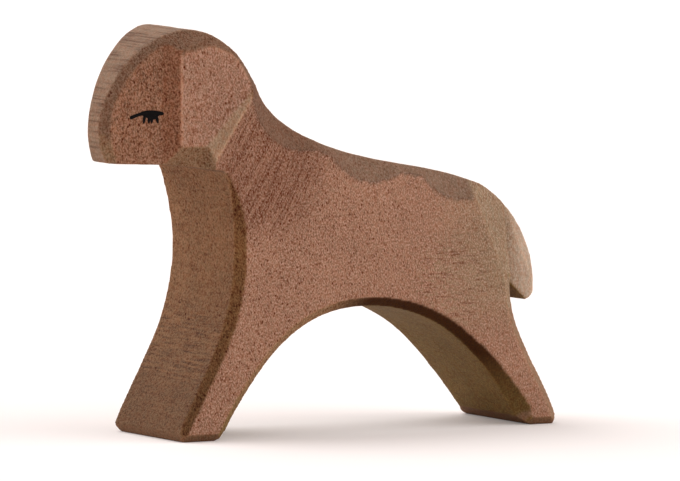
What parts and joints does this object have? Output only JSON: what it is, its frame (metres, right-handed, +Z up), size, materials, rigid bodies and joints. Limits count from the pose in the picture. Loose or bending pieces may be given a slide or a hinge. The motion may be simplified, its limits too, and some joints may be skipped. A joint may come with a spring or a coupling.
{
  "type": "carved sheep figurine",
  "caption": "Standing toy sheep sawn from one thick board of brown-stained wood and knife-carved, with slab legs, a short tail and painted closed eyes.",
  "frame": {"origin": "centre of the bounding box in X and Y, on the surface that the feet stand on", "axes": "+X from head to tail, +Y towards the animal's right side, +Z up"},
  "size_m": [0.0666, 0.02, 0.0554],
  "materials": {
    "stained_wood": "matte stain, open pores",
    "eye_paint": "matte brush paint"
  },
  "bodies": {
    "root": {"carved_body": "stained_wood", "left_eyelid": "eye_paint", "left_lashes": "eye_paint", "right_eyelid": "eye_paint", "right_lashes": "eye_paint"}
  },
  "joints": []
}
